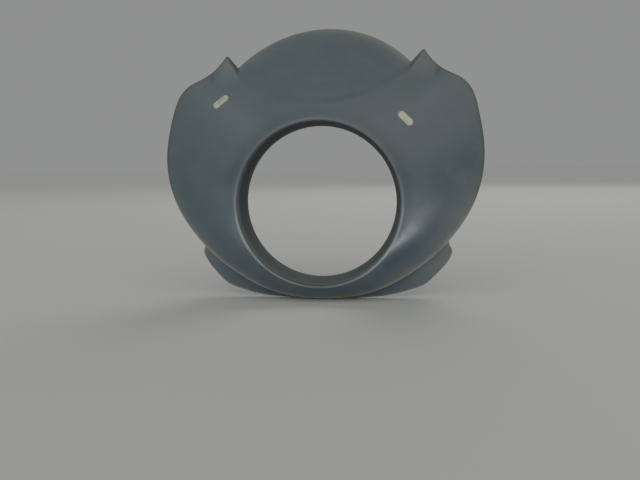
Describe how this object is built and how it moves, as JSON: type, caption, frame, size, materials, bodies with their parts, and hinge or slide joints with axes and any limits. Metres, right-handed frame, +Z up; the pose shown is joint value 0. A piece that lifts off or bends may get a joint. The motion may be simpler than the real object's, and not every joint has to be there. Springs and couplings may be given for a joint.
{
  "type": "headlamp fairing",
  "caption": "One-piece moulded upper fairing with a round lamp opening, a shallow screen seat between two raised corners and a turned-back lower skirt.",
  "frame": {"origin": "on the lamp opening's axis, at the middle of its straight 12 mm land", "axes": "-Y towards the front, the way the lamp faces, +Z up towards the screen seat, +X to the viewer's right when facing the front"},
  "size_m": [0.393, 0.108, 0.3468],
  "materials": {
    "primed_plastic": "satin grey primer",
    "filler": "dull"
  },
  "bodies": {
    "root": {"fairing_shell": "primed_plastic", "left_slot_filler": "filler", "right_slot_filler": "filler"}
  },
  "joints": []
}
